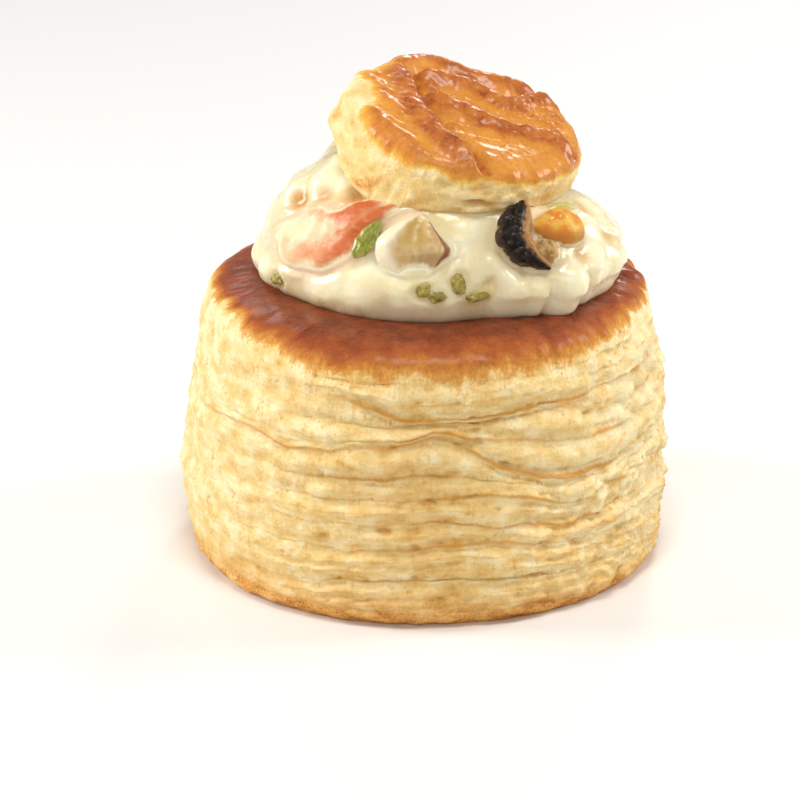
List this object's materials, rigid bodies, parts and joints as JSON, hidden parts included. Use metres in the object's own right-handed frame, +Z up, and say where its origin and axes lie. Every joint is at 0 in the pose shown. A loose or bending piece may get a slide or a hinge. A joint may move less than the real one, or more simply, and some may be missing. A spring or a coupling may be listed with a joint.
{
  "type": "vol-au-vent",
  "caption": "Round puff pastry case heaped with creamy seafood sauce, with salmon, mussel, mushroom and leek, and a small pastry lid leaning on top.",
  "frame": {"origin": "centre of the flat underside, on the case's axis, where it rests", "axes": "+Z up along the case's axis, -Y towards the side with the mushroom, between the salmon and the mussel, +X towards the mussel and the lower edge of the lid"},
  "size_m": [0.0916, 0.0902, 0.0902],
  "materials": {
    "case": "dry, flaky baked pastry, glazed brown on its rim",
    "lid": "egg-glazed golden brown top over a pale flaky side",
    "sauce": "wet cream sauce",
    "salmon": "wet cooked fish, partly coated with sauce",
    "mussel": "wet cooked mussel meat, dark at its frilled edge and orange inside",
    "mushroom": "wet sliced mushroom with a thin brown skin",
    "leek": "wet cooked leek"
  },
  "bodies": {
    "root": {"case": "case", "lid": "lid", "sauce": "sauce", "salmon": "salmon", "mussel": "mussel", "mushroom": "mushroom", "leek_strip": "leek", "leek_slice": "leek"}
  },
  "joints": []
}
